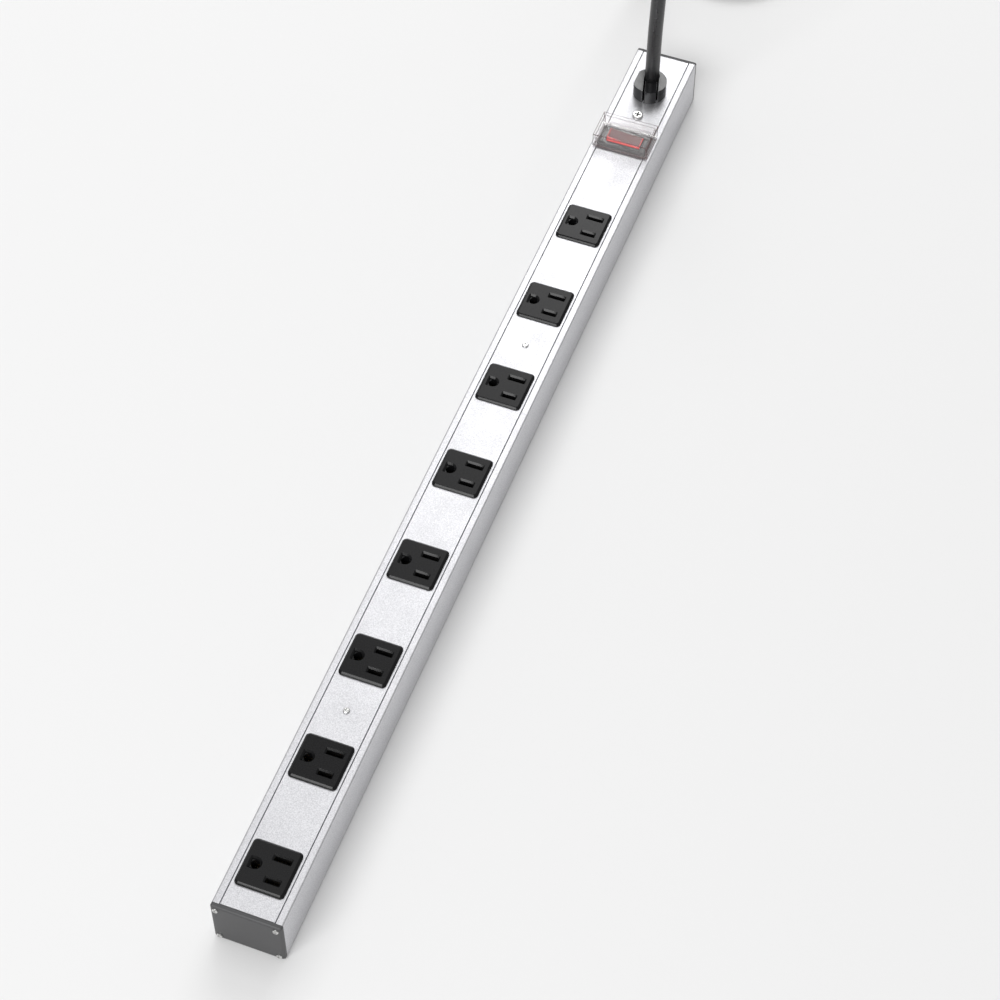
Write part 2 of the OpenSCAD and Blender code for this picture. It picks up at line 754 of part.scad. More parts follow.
// the body is open on its near side, where the cord is laid in
module strain_relief_body() {
    color("#202022") translate([0, gland_yc, strip_h]) difference() {
        gland_blank(gland_h);
        gland_passage();
        gland_slab(2 * (cord_r + cord_gap) + slot_ease, slot_ease);
    }
}

// the wedge fills that opening and presses on the cord
module strain_relief_wedge() {
    color("#141416") translate([0, gland_yc, strip_h]) difference() {
        intersection() {
            gland_blank(gland_h - wedge_recess);
            gland_slab(wedge_w, -wedge_back);
        }
        gland_passage();
    }
}

// ---- cord, hank and plug ----

// unit vectors across a run of direction d that never points along X
function side_of(d) = let (s = cross(d, [1, 0, 0])) s / norm(s);
function run_at(p, i) =
    let (d = p[min(i + 1, len(p) - 1)] - p[max(i - 1, 0)]) d / norm(d);
function ring_at(p, i, r, n) =
    let (d = run_at(p, i), u = side_of(d), v = cross(d, u))
    [for (k = [0:n - 1]) p[i] + r * (u * cos(360 * k / n) + v * sin(360 * k / n))];

// a closed tube through the points, one ring of n sides at each
module tube(p, r, n) {
    last = len(p) - 1;
    polyhedron(
        points = [for (i = [0:last]) each ring_at(p, i, r, n)],
        faces = concat(
            [[for (k = [0:n - 1]) k]],
            [[for (k = [n - 1:-1:0]) last * n + k]],
            [for (i = [0:last - 1], k = [0:n - 1])
                [i * n + k, (i + 1) * n + k, (i + 1) * n + (k + 1) % n, i * n + (k + 1) % n]]
        )
    );
}

module cord_lead() {
    color("#2a2a2c") translate([0, gland_yc, 0]) tube(lead_points, cord_r, 10);
}

// a shape with straight sides and round ends of radius r
module racetrack(r) {
    translate([-r, 0]) square([2 * r, hank_straight]);
    for (y = [0, hank_straight]) translate([0, y]) circle(r);
}

// one layer of the hank, with some turns side by side
module hank_layer(turns) {
    linear_extrude(cord_d) difference() {
        racetrack(hank_r + (turns - 0.5) * cord_d);
        racetrack(hank_r - 0.5 * cord_d);
    }
}

module cord_hank() {
    color("#2a2a2c") translate([0, hank_near_y, strap_t]) {
        hank_layer(3);
        translate([0, 0, cord_d]) hank_layer(2);
    }
}

module cord_tail() {
    color("#2a2a2c") translate([-tail_x, hank_far_y, tail_z]) rotate([-90, 0, 0])
        cylinder(h = tail_l, r = cord_r);
}

// one strap round each side of the hank
module cord_straps() {
    inner = 3 * cord_d;
    top = strap_t + 2 * cord_d;
    color("black") for (s = [-1, 1])
        translate([s * (hank_r + cord_d), hank_near_y + hank_straight / 2, 0]) difference() {
            block(inner + 2 * strap_t, strap_w, 0, top + strap_t);
            block(inner, strap_w + 2, strap_t, top);
        }
}

// a bend relief, a grip and a flange, one behind the other
module plug_body() {
    relief_l = plug_l / 2;
    flange_l = 9;
    color("#2a2a2c") translate([-tail_x, hank_far_y + tail_l, tail_z]) rotate([-90, 0, 0]) {
        cylinder(h = relief_l, r1 = cord_r + 0.8, r2 = 7.5);
        translate([0, 0, relief_l - 1])
            cylinder(h = plug_l - relief_l - flange_l + 1, r1 = 9.5, r2 = plug_r - 1);
        translate([0, 0, plug_l - flange_l - eps]) cylinder(h = flange_l + eps, r = plug_r);
    }
}

// two flat blades, and a round ground pin that reaches further
module plug_prongs() {
    blade_t = 1.5;
    blade_w = 6.35;
    pin_r = 2.4;
    pin_lead = 1;
    pin_z = 7.85;
    color("goldenrod") translate([-tail_x, hank_far_y + tail_l + plug_l, tail_z]) {
        for (s = [-1, 1])
            translate([s * slot_spacing / 2 - blade_t / 2, 0, pin_z - ground_offset - blade_w / 2])
                cube([blade_t, blade_l, blade_w]);
        translate([0, 0, pin_z]) rotate([-90, 0, 0]) cylinder(h = blade_l + pin_lead, r = pin_r);
        translate([0, blade_l + pin_lead, pin_z]) sphere(pin_r);
    }
}

// ---- the assembly ----

housing_channel();
front_panel();
end_cap_near();
end_cap_far();
cap_screws_near();
cap_screws_far();
channel_liner();
for (part = OUTLET_PARTS, i = [1:outlet_count])
    translate([0, first_y + (i - 1) * outlet_pitch]) outlet_part(part);
line_bus();
neutral_bus();
ground_bus();
panel_screws();
panel_clamp_bars();
switch_body();
switch_rocker();
switch_lever();
switch_terminals();
switch_lamp();
guard_frame();
guard_hinge_pin();
guard_lid();
strain_relief_body();
strain_relief_wedge();
ground_screw();
ground_nut();
ground_ring_terminals();
line_supply_wire();
switched_line_wire();
neutral_wire();
ground_wires();
cord_lead();
cord_hank();
cord_tail();
cord_straps();
plug_body();
plug_prongs();
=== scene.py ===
import math
import bmesh
import bpy
from mathutils import Matrix, Vector
from mathutils.geometry import tessellate_polygon


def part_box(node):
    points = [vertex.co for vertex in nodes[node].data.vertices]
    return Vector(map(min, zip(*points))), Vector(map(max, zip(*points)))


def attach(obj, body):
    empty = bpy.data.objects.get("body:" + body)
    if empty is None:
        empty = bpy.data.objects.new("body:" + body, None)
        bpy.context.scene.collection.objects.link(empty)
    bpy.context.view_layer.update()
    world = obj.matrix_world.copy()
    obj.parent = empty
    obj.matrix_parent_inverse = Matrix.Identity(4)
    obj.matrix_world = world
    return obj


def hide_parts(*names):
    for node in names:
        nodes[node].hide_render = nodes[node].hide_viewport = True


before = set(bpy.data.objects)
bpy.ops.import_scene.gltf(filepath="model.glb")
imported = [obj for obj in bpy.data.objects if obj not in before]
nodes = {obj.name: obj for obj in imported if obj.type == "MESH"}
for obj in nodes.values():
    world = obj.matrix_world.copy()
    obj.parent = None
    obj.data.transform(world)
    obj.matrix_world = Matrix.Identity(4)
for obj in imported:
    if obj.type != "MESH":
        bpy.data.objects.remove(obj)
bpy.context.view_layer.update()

scene = bpy.context.scene
scene.view_settings.view_transform = "Standard"

# ---- Camera ----
# A long lens above the near end and a little to the right looks down the length of the strip.
camera = bpy.data.objects.new("camera", bpy.data.cameras.new("camera"))
camera.data.sensor_width = 36
camera.data.lens = 94.1
camera.location = (0.3263, -0.8271, 1.1700)
camera.rotation_euler = (math.radians(36.53), 0, math.radians(20.90))
scene.collection.objects.link(camera)
scene.camera = camera


# ---- Mains cord ----
# Three insulated cores in one round black jacket. It comes straight up out of the strain relief,
# bends over behind the strip, and its spare length is folded into a flat hank of four turns.
CORD_D = 0.0088
gland_foot = Vector((0, 0.284, 0))
lead = [
    (0, .003, .022), (0, .003, .029), (-.0003, .0045, .038), (-.0003, .0047, .050),
    (-.0002, .0047, .064), (0, .0048, .080), (.0004, .005, .096), (.0006, .0056, .112),
    (0, .008, .129), (-.002, .015, .145), (-.005, .027, .158), (-.009, .043, .165),
    (-.015, .061, .164), (-.021, .077, .155), (-.026, .090, .141), (-.0305, .099, .123),
    (-.0344, .104, .103), (-.0374, .107, .083), (-.0396, .110, .063), (-.0412, .116, .044),
    (-.0425, .127, .0265), (-.0434, .142, .0135), (-.0439, .160, .0066), (-.044, .179, .0052),
]
HANK_NEAR = gland_foot.y + .179
HANK_FAR = HANK_NEAR + .059
HANK_R = .0264
STRAP_T = .0008
TAIL_L = .038
IN_PLUG = .018
LEAD_STEPS, BEND_STEPS, TAIL_STEPS = 6, 32, 16
STRAIGHT_SKIP = 4
low, high = STRAP_T + CORD_D / 2, STRAP_T + CORD_D * 1.5
# each pass of the hank on its left side: its distance from the middle and its height
passes = [(HANK_R + 2 * CORD_D, low), (HANK_R + CORD_D, low), (HANK_R, low), (HANK_R, high),
          (HANK_R + CORD_D, high)]
# where each turn moves over to the next pass: from the start of the right side, in stretches
shifts = [(1.5, 2.0), (1.5, 2.0), (1.11, 1.61), (.5, 1.25)]


def smooth_route(points, steps):
    """Catmull-Rom curve through the points."""
    ends = [2 * points[0] - points[1]] + points + [2 * points[-1] - points[-2]]
    route = []
    for a, b, c, d in zip(ends, ends[1:], ends[2:], ends[3:]):
        for k in range(steps):
            t = k / steps
            turn_in = 2 * a - 5 * b + 4 * c - d
            route.append(b + .5 * t * (c - a + t * (turn_in + t * (3 * (b - c) + d - a))))
    return route + [points[-1]]


def on_hank(u, r, z):
    """The point at u along one turn: left side, far bend, right side and near bend, one unit each."""
    side, t = int(u), u - int(u)
    if side == 0:
        return Vector((-r, HANK_NEAR + t * (HANK_FAR - HANK_NEAR), z))
    if side == 2:
        return Vector((r, HANK_FAR - t * (HANK_FAR - HANK_NEAR), z))
    turn = math.pi * (t if side == 1 else 1 + t)
    return Vector((-r * math.cos(turn), (HANK_FAR if side == 1 else HANK_NEAR) + r * math.sin(turn), z))


route = smooth_route([gland_foot + Vector(p) for p in lead], LEAD_STEPS)[:-1]
for (r, z), (next_r, next_z), (start, end) in zip(passes, passes[1:], shifts):
    for k in range(4 * BEND_STEPS):
        u = k / BEND_STEPS
        t = min(max((u - 2 - start) / (end - start), 0), 1)
        t = t * t * (3 - 2 * t)
        # the bends take every point, and the straight sides take few
        if u % 2 >= 1 or k % STRAIGHT_SKIP == 0:
            route.append(on_hank(u, r + t * (next_r - r), z + t * (next_z - z)))
TAIL_X, TAIL_Z = -passes[-1][0], passes[-1][1]
plug_start = HANK_FAR + TAIL_L
for k in range(TAIL_STEPS):
    y = HANK_NEAR + k / (TAIL_STEPS - 1) * (plug_start + IN_PLUG - HANK_NEAR)
    route.append(Vector((TAIL_X, y, TAIL_Z)))

cord_curve = bpy.data.curves.new("mains_cord", "CURVE")
cord_curve.dimensions = "3D"
cord_curve.bevel_depth = CORD_D / 2
cord_curve.bevel_resolution = 6
cord_curve.use_fill_caps = True
spline = cord_curve.splines.new("POLY")
spline.points.add(len(route) - 1)
for point, place in zip(spline.points, route):
    point.co = (*place, 1)
spline.use_smooth = True
mains_cord = bpy.data.objects.new("mains_cord", cord_curve)
scene.collection.objects.link(mains_cord)


def shader(name, **values):
    """A new material and its Principled shader, with plain values set on the shader's own sockets."""
    material = bpy.data.materials.new(name)
    material.use_nodes = True
    principled = material.node_tree.nodes["Principled BSDF"]
    for socket, value in values.items():
        principled.inputs[socket.replace("_", " ")].default_value = value
    return material, principled


def noise(material, scale, stretch=(1, 1, 1), detail=3):
    """A noise on Object coordinates, with stretch along each axis; scale is per metre."""
    tree = material.node_tree
    where = tree.nodes.new("ShaderNodeTexCoord")
    mapping = tree.nodes.new("ShaderNodeMapping")
    mapping.inputs["Scale"].default_value = stretch
    texture = tree.nodes.new("ShaderNodeTexNoise")
    texture.inputs["Scale"].default_value = scale
    texture.inputs["Detail"].default_value = detail
    tree.links.new(where.outputs["Object"], mapping.inputs["Vector"])
    tree.links.new(mapping.outputs["Vector"], texture.inputs["Vector"])
    return texture.outputs["Fac"]


def spread(material, factor, low, high, socket):
    """Spreads a 0..1 factor over low..high, which are numbers or colours, into a shader's socket."""
    tree = material.node_tree
    ramp = tree.nodes.new("ShaderNodeValToRGB")
    ramp.color_ramp.elements[0].position = .3
    ramp.color_ramp.elements[1].position = .7
    for element, value in zip(ramp.color_ramp.elements, (low, high)):
        element.color = (*value, 1) if isinstance(value, tuple) else (value, value, value, 1)
    tree.links.new(factor, ramp.inputs["Fac"])
    tree.links.new(ramp.outputs["Color"], socket)


def bump(material, principled, height, strength, distance):
    """Turns a height into the shader's normal; distance is in metres."""
    node = material.node_tree.nodes.new("ShaderNodeBump")
    node.inputs["Strength"].default_value = strength
    node.inputs["Distance"].default_value = distance
    material.node_tree.links.new(height, node.inputs["Height"])
    material.node_tree.links.new(node.outputs["Normal"], principled.inputs["Normal"])


cord_jacket, p = shader("cord_jacket", IOR=1.52)
grain = noise(cord_jacket, 900)
spread(cord_jacket, grain, (.011, .011, .012), (.02, .02, .021), p.inputs["Base Color"])
spread(cord_jacket, grain, .26, .36, p.inputs["Roughness"])
bump(cord_jacket, p, noise(cord_jacket, 2600), .12, .0001)
cord_curve.materials.append(cord_jacket)
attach(mains_cord, "strip")
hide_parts("cord_lead", "cord_hank", "cord_tail")


# ---- Plug ----
# The cord's moulded plug: a ribbed bend relief, a grip with hollowed sides, and a round flange
# from which two flat blades and a longer ground pin stand out.
MM = .001


def circle(r, n=48):
    return [(r * math.cos(math.tau * k / n), r * math.sin(math.tau * k / n)) for k in range(n)]


def offset(loop, g):
    """Moves a counter-clockwise loop outwards by g, or inwards if g is negative."""
    moved = []
    for k, (x, y) in enumerate(loop):
        (ax, ay), (bx, by) = loop[k - 1], loop[(k + 1) % len(loop)]
        a = Vector((x - ax, y - ay)).normalized()
        b = Vector((bx - x, by - y)).normalized()
        n1, n2 = Vector((a.y, -a.x)), Vector((b.y, -b.x))
        push = (n1 + n2) * (g / max(1 + n1.dot(n2), .2))
        moved.append((x + push.x, y + push.y))
    return moved


def add_solid(bm, outer, holes=(), pockets=(), place=Matrix(), material=0):
    """Adds a closed solid in millimetres. outer and each hole are stacks of (loop, height) from the
    bottom up, and each pocket is one from the top down with a floor at its end."""
    made = []

    def rows(stack):
        return [[bm.verts.new(place @ (Vector((x, y, z)) * MM)) for x, y in loop] for loop, z in stack]

    def walls(rings):
        for a, b in zip(rings, rings[1:]):
            for k in range(len(a)):
                j = (k + 1) % len(a)
                made.append(bm.faces.new((a[k], a[j], b[j], b[k])))

    def cap(rings):
        flat = [v for ring in rings for v in ring]
        if len(rings) == 1:
            made.append(bm.faces.new(flat))
            return
        for triangle in tessellate_polygon([[v.co.copy() for v in ring] for ring in rings]):
            made.append(bm.faces.new([flat[k] for k in triangle]))

    body = rows(outer)
    through = [rows(stack) for stack in holes]
    blind = [rows(stack) for stack in pockets]
    for rings in [body, *through, *blind]:
        walls(rings)
    for rings in blind:
        cap([rings[-1]])
    cap([body[0]] + [rings[0] for rings in through])
    cap([body[-1]] + [rings[-1] for rings in through] + [rings[0] for rings in blind])
    for face in made:
        face.material_index = material
    bmesh.ops.recalc_face_normals(bm, faces=made)


def piece(name, bm, materials, body, replaced, sharp=35):
    """Makes one object of the mesh, smooth up to the sharp angle, and hands it to the frame."""
    mesh = bpy.data.meshes.new(name)
    bm.to_mesh(mesh)
    bm.free()
    for material in materials:
        mesh.materials.append(material)
    mesh.polygons.foreach_set("use_smooth", [True] * len(mesh.polygons))
    mesh.set_sharp_from_angle(angle=math.radians(sharp))
    made = bpy.data.objects.new(name, mesh)
    scene.collection.objects.link(made)
    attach(made, body)
    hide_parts(*replaced)
    return made


def squircle(rx, ry, power, n=64):
    """A rounded outline between an ellipse, at power 2, and a rectangle."""
    points = []
    for k in range(n):
        c, s = math.cos(math.tau * k / n), math.sin(math.tau * k / n)
        points.append((rx * math.copysign(abs(c) ** (2 / power), c),
                       ry * math.copysign(abs(s) ** (2 / power), s)))
    return points


plug_lo, plug_hi = (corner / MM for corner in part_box("plug_body"))
plug_l = plug_hi.y - plug_lo.y
plug_r = (plug_hi.x - plug_lo.x) / 2
# the plug's own Z runs along the strip's Y
plug_place = Matrix.Translation((TAIL_X, plug_lo.y * MM, TAIL_Z)) @ Matrix.Rotation(-math.pi / 2, 4, "X")
relief_l, flange_l = plug_l / 2, 9
RIBS, RIB_STEP, RIB_R, RIB_GROWTH, GROOVE = 7, 3.3, 5.15, .32, .7
bend_relief = [(4.6, 0), (5.1, .3)]
for k in range(RIBS):
    foot, r = 1.2 + k * RIB_STEP, RIB_R + k * RIB_GROWTH
    bend_relief += [(r, foot), (r - GROOVE, foot + .4), (r - GROOVE, foot + 1.3), (r + .1, foot + 1.7)]
bend_relief += [(7.4, relief_l - 1), (8.6, relief_l)]
# the grip's half width, half height and squareness, at heights over the bend relief
grip = [(10.6, 9.6, 2.4, 1.5), (11.4, 9.4, 2.6, 4), (11.2, 9, 2.6, 8), (11.6, 9.6, 2.4, 12),
        (12.6, 11.6, 2.1, plug_l - flange_l - 1.2 - relief_l)]
# the flange: how far in from its edge, and how far along the plug
flange_foot = plug_l - flange_l
flange = [(.9, flange_foot - .3), (.3, flange_foot + .3), (0, flange_foot + 1), (0, plug_l - 1.4),
          (.4, plug_l - .5), (1.2, plug_l - .05)]
stack = [(circle(r, 64), height) for r, height in bend_relief]
stack += [(squircle(rx, ry, power), relief_l + height) for rx, ry, power, height in grip]
stack += [(circle(plug_r - inset, 64), height) for inset, height in flange]
bm = bmesh.new()
add_solid(bm, stack, place=plug_place)
plug_rubber, p = shader("plug_rubber", IOR=1.5)
grain = noise(plug_rubber, 1400)
spread(plug_rubber, grain, (.012, .012, .013), (.02, .02, .021), p.inputs["Base Color"])
spread(plug_rubber, grain, .38, .5, p.inputs["Roughness"])
bump(plug_rubber, p, grain, .2, .0001)
plug = piece("moulded_plug", bm, [plug_rubber], "strip", ["plug_body"])

brass, p = shader("brass", Metallic=1.0)
spread(brass, noise(brass, 300), (.72, .53, .25), (.82, .64, .34), p.inputs["Base Color"])
spread(brass, noise(brass, 700, (1, .1, 1)), .22, .36, p.inputs["Roughness"])
bump(brass, p, noise(brass, 3000, (1, .1, 1)), .1, .00003)

prong_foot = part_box("plug_prongs")[0].y
BLADE_L, BLADE_W, BLADE_T = 17.5, 6.35, 1.5
# the blades' distance from the middle, the pin's height, and its height over the blades
BLADE_X, PIN_Z, PIN_RISE = 6.35, 7.85, 11.95
CORNERS = ((-1, -1), (1, -1), (1, 1), (-1, 1))
bm = bmesh.new()
prong_place = (Matrix.Translation((TAIL_X, prong_foot, TAIL_Z))
               @ Matrix.Rotation(-math.pi / 2, 4, "X"))
for s in (-1, 1):
    cx, cz = s * BLADE_X, PIN_Z - PIN_RISE
    blade = [(cx + x * BLADE_T / 2, -cz + y * BLADE_W / 2) for x, y in CORNERS]
    tip = offset(blade, -.45)
    add_solid(bm, [(blade, 0), (blade, BLADE_L - 1.2), (tip, BLADE_L)], place=prong_place)
# the ground pin's radius and height, up to its round tip
pin = ((2.4, 0), (2.4, 18.6), (2.2, 19.5), (1.6, 20.3), (.8, 20.8))
add_solid(bm, [([(x, y - PIN_Z) for x, y in circle(r, 24)], h) for r, h in pin], place=prong_place)
prongs = piece("plug_blades_and_pin", bm, [brass], "strip", ["plug_prongs"])


# ---- Straps of the hank ----
# Two woven hook-and-loop straps, each wrapped once round one side of the hank. Each follows the
# outermost of the passes of cord that it holds.
bm = bmesh.new()
strap_lo, strap_hi = (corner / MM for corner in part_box("cord_straps"))
strap_w = strap_hi.y - strap_lo.y
wall = STRAP_T / MM
strap_mid = (HANK_NEAR + HANK_FAR) / 2
cord_r = CORD_D / 2 / MM
levels = (low / MM, high / MM)
WRAP_STEPS, EASE = 72, .02
for s, upper in ((-1, (0, 1)), (1, (0,))):
    held = [(s * (HANK_R + c * CORD_D) / MM, levels[0]) for c in range(3)]
    held += [(s * (HANK_R + c * CORD_D) / MM, levels[1]) for c in upper]
    inner, outer = [], []
    for k in range(WRAP_STEPS):
        turn = math.tau * k / WRAP_STEPS
        c, t = math.cos(turn), math.sin(turn)
        x, z = max(held, key=lambda h: h[0] * c + h[1] * t)
        inner.append((x + (cord_r + EASE) * c, -z - (cord_r + EASE) * t))
        outer.append((x + (cord_r + wall - EASE) * c, -z - (cord_r + wall - EASE) * t))
    inner.reverse()
    outer.reverse()
    place = (Matrix.Translation((0, strap_mid - strap_w / 2 * MM, 0))
             @ Matrix.Rotation(-math.pi / 2, 4, "X"))
    add_solid(bm, [(outer, 0), (outer, strap_w)], [[(inner, 0), (inner, strap_w)]], place=place)
strap_weave, p = shader("strap_weave", Roughness=.9, Sheen_Weight=.4, Sheen_Roughness=.4)
weave = strap_weave.node_tree.nodes.new("ShaderNodeTexWave")
where = strap_weave.node_tree.nodes.new("ShaderNodeTexCoord")
weave.inputs["Scale"].default_value = 320
weave.inputs["Distortion"].default_value = 1.5
weave.bands_direction = "Y"
strap_weave.node_tree.links.new(where.outputs["Object"], weave.inputs["Vector"])
spread(strap_weave, weave.outputs["Fac"], (.012, .012, .013), (.035, .035, .036), p.inputs["Base Color"])
bump(strap_weave, p, weave.outputs["Fac"], .4, .0002)
straps = piece("hook_and_loop_straps", bm, [strap_weave], "strip", ["cord_straps"])

# ---- Housing channel ----
# One length of extruded aluminium, bead blasted and clear anodised: a floor, two sides, a thick
# corner along each edge for the cap screws, and a thin ledge under each edge of the panel.
aluminium, p = shader("satin_aluminium", Metallic=1.0)
speckle = noise(aluminium, 1900, detail=2)
spread(aluminium, speckle, (.50, .50, .52), (.74, .74, .76), p.inputs["Base Color"])
spread(aluminium, noise(aluminium, 60), .42, .5, p.inputs["Roughness"])
bump(aluminium, p, speckle, .3, .00006)

channel_lo, channel_hi = (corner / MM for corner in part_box("housing_channel"))
STRIP_W, STRIP_H = channel_hi.x - channel_lo.x, channel_hi.z
CHAMBER_L = channel_hi.y - channel_lo.y
WALL, CORNER, EDGE_R = 1.6, 4.2, 1
LEDGE, LEDGE_T, PANEL_T = 1.2, 1.6, 2
PANEL_Z = STRIP_H - PANEL_T
# how far the cap screws stand in from the channel's faces, and their holes' radius
SCREW_IN, SCREW_HOLE_R = 2.95, 1.05
side, inside, thick = STRIP_W / 2, STRIP_W / 2 - WALL, STRIP_W / 2 - CORNER


def arc(cx, cy, r, start, n=5):
    """A quarter circle from the start angle, in degrees."""
    angles = [math.radians(start + 90 * k / n) for k in range(n + 1)]
    return [(cx + r * math.cos(a), cy + r * math.sin(a)) for a in angles]


right = arc(side - EDGE_R, EDGE_R, EDGE_R, -90) + arc(side - EDGE_R, STRIP_H - EDGE_R, EDGE_R, 0)
right += [(thick + .3, STRIP_H), (thick, STRIP_H - .5), (thick, PANEL_Z), (thick - LEDGE, PANEL_Z),
          (thick - LEDGE, PANEL_Z - LEDGE_T), (thick, PANEL_Z - LEDGE_T), (thick, STRIP_H - CORNER),
          (inside, STRIP_H - CORNER), (inside, CORNER), (thick, CORNER), (thick, WALL)]
outline = right + [(-x, z) for x, z in reversed(right)]
screw_places = [(s * (side - SCREW_IN), z) for s in (-1, 1) for z in (SCREW_IN, STRIP_H - SCREW_IN)]
loops = [outline]
loops += [[(x + cx, z + cz) for x, z in circle(SCREW_HOLE_R, 20)] for cx, cz in screw_places]
bm = bmesh.new()
flat = [bm.verts.new((x * MM, channel_lo.y * MM, z * MM)) for loop in loops for x, z in loop]
for triangle in tessellate_polygon([[Vector((x, z, 0)) for x, z in loop] for loop in loops]):
    bm.faces.new([flat[k] for k in triangle])
bm.normal_update()
bmesh.ops.reverse_faces(bm, faces=[face for face in bm.faces if face.normal.y < 0])


def new_rule(name, sockets):
    """An empty Geometry Nodes tree with named inputs and one body as its output."""
    tree = bpy.data.node_groups.new(name, "GeometryNodeTree")
    for label, kind in sockets:
        tree.interface.new_socket(label, in_out="INPUT", socket_type="NodeSocket" + kind)
    tree.interface.new_socket("Body", in_out="OUTPUT", socket_type="NodeSocketGeometry")
    return tree, tree.nodes.new("NodeGroupInput"), tree.nodes.new("NodeGroupOutput")


def node(tree, kind, links):
    """Adds a node and links each named or numbered input from an output socket."""
    made = tree.nodes.new(kind)
    for socket, source in links.items():
        tree.links.new(source, made.inputs[socket])
    return made


def grown(bm, rule, **values):
    """What a rule makes of a mesh, as a new mesh."""
    seed = bpy.data.objects.new("seed", bpy.data.meshes.new("seed"))
    bm.to_mesh(seed.data)
    scene.collection.objects.link(seed)
    modifier = seed.modifiers.new("rule", "NODES")
    modifier.node_group = rule
    for socket in rule.interface.items_tree:
        if socket.in_out == "INPUT" and socket.name in values:
            modifier[socket.identifier] = values[socket.name]
    mesh = bpy.data.meshes.new_from_object(seed.evaluated_get(bpy.context.evaluated_depsgraph_get()))
    bpy.data.objects.remove(seed)
    bm.clear()
    bm.from_mesh(mesh)
    bpy.data.meshes.remove(mesh)
    return bm


extrusion, given, body = new_rule("extrusion", (("Profile", "Geometry"), ("Length", "Float"),
                                                ("Material", "Material")))
along = node(extrusion, "ShaderNodeCombineXYZ", {"Y": given.outputs["Length"]})
pushed = node(extrusion, "GeometryNodeExtrudeMesh", {"Mesh": given.outputs["Profile"],
                                                     "Offset": along.outputs[0]})
pushed.inputs["Individual"].default_value = False
start = node(extrusion, "GeometryNodeFlipFaces", {"Mesh": given.outputs["Profile"]})
joined = node(extrusion, "GeometryNodeJoinGeometry", {})
extrusion.links.new(pushed.outputs["Mesh"], joined.inputs[0])
extrusion.links.new(start.outputs["Mesh"], joined.inputs[0])
closed = node(extrusion, "GeometryNodeMergeByDistance", {"Geometry": joined.outputs[0]})
closed.inputs["Distance"].default_value = 1e-6
whole = node(extrusion, "GeometryNodeRealizeInstances", {"Geometry": closed.outputs[0]})
painted = node(extrusion, "GeometryNodeSetMaterial", {"Geometry": whole.outputs[0],
                                                      "Material": given.outputs["Material"]})
extrusion.links.new(painted.outputs[0], body.inputs[0])
bm = grown(bm, extrusion, Length=CHAMBER_L * MM, Material=aluminium)
piece("extruded_channel", bm, [aluminium], "strip", ["housing_channel"])


# ---- Channel liner ----
# A plain insulating film that lies loose on the channel's floor, under all the live parts.
def dress(material, *names):
    """Gives nodes that stay as they are one material."""
    for name in names:
        for material_slot in nodes[name].material_slots:
            material_slot.material = material


liner, p = shader("liner_film", Roughness=.55)
spread(liner, noise(liner, 220, (1, .05, 1)), (.50, .33, .17), (.60, .42, .24), p.inputs["Base Color"])
dress(liner, "channel_liner")


# ---- Bus bars and outlet insides ----
# Three brass bars run under the outlets, riveted to the tails of stamped brass contacts that sit
# in each outlet's moulded black back.
dress(brass, "line_bus", "neutral_bus", "ground_bus", *(f"outlet_{k}_contacts" for k in range(1, 9)))
back_plastic, p = shader("outlet_back_plastic", Base_Color=(.011, .011, .012, 1))
spread(back_plastic, noise(back_plastic, 900), .5, .62, p.inputs["Roughness"])
dress(back_plastic, *(f"outlet_{k}_back" for k in range(1, 9)))


# ---- Outlets ----
# Eight moulded faces snapped into the panel: a raised pad with a sloped edge, a line and a neutral
# slot and a D-shaped ground hole, each with a sloped lead-in, over the cavities of the contacts.
outlet_plastic, p = shader("outlet_plastic", IOR=1.5, Specular_IOR_Level=.22)
grain = noise(outlet_plastic, 1500)
spread(outlet_plastic, grain, (.004, .004, .0045), (.007, .007, .0075), p.inputs["Base Color"])
spread(outlet_plastic, grain, .16, .24, p.inputs["Roughness"])
bump(outlet_plastic, p, grain, .08, .00004)


def rounded(w, h, radii, at=(0, 0), n=6):
    """A rectangle with round corners: one radius, or four from the far right one round to the left.

    at is its middle, and n is the number of stretches in each corner."""
    radii = radii if isinstance(radii, tuple) else (radii,) * 4
    loop = []
    for k, (r, (sx, sy)) in enumerate(zip(radii, ((1, 1), (-1, 1), (-1, -1), (1, -1)))):
        loop += arc(at[0] + sx * (w / 2 - r), at[1] + sy * (h / 2 - r), r, 90 * k, n)
    return loop


repeats, given, body = new_rule("repeats", (
    ("Piece", "Geometry"), ("Columns", "Int"), ("Column Step", "Vector"), ("Rows", "Int"),
    ("Row Step", "Vector"), ("Material", "Material")))
placed = given.outputs["Piece"]
for count, step in (("Columns", "Column Step"), ("Rows", "Row Step")):
    line = node(repeats, "GeometryNodeMeshLine", {"Count": given.outputs[count],
                                                  "Offset": given.outputs[step]})
    copies = node(repeats, "GeometryNodeInstanceOnPoints", {"Points": line.outputs["Mesh"],
                                                            "Instance": placed})
    placed = node(repeats, "GeometryNodeRealizeInstances", {"Geometry": copies.outputs[0]}).outputs[0]
painted = node(repeats, "GeometryNodeSetMaterial", {"Geometry": placed,
                                                    "Material": given.outputs["Material"]})
repeats.links.new(painted.outputs[0], body.inputs[0])

OUTLETS, FIRST_OUTLET, PITCH = 8, -290.3, 65.1
FACE, BODY, FACE_R, PROUD = (26.8, 27.2), (24, 24.4), 2.5, 1.6
SLOT_X, SLOT_Y, SLOT_W, SLOT_L = 4.75, 6.35, 2.3, (7.4, 8.8)
GROUND_X, GROUND_D, BORE_D = -7.2, 5.3, 4.9
# heights over the panel's face: the block's foot, the roof of its cavities, and the lead-ins' foot
FLOOR_Z, CAVITY_Z, LEAD_Z = 12 - STRIP_H, PROUD - 5.35, PROUD - .95
bm = bmesh.new()
at_first = Matrix.Translation(Vector((0, FIRST_OUTLET, STRIP_H)) * MM)


